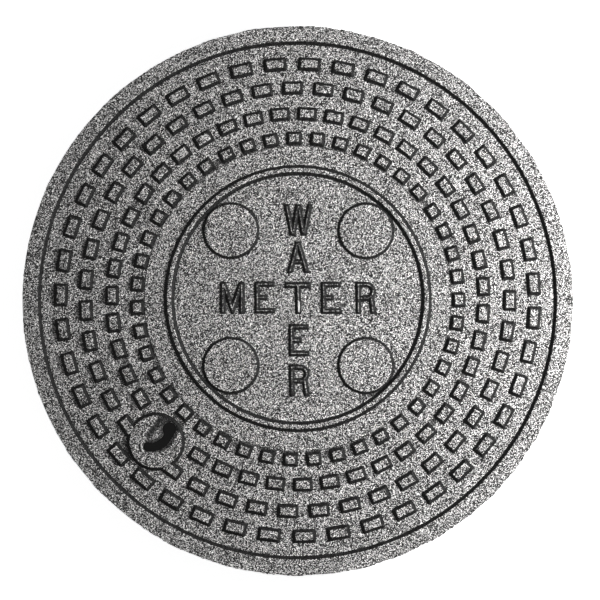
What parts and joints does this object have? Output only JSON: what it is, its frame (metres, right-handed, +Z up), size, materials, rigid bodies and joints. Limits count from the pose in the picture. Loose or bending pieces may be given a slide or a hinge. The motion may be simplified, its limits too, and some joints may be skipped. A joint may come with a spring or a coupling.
{
  "type": "water meter box cover",
  "caption": "Round cast-iron cover for a water meter box, with raised traction blocks, a raised rim and bead, round pads, and a curved keyhole in a boss for a lifting key.",
  "frame": {"origin": "on the seat plane, at the centre of the round rim", "axes": "+Z up, out of the patterned top face; the keyhole boss lies towards -X and -Y, midway between them"},
  "size_m": [0.5079, 0.508, 0.0254],
  "materials": {
    "iron": "dark grey as-cast grey iron with a coarse sandy grain, uncoated"
  },
  "bodies": {
    "root": {"cover": "iron"}
  },
  "joints": []
}
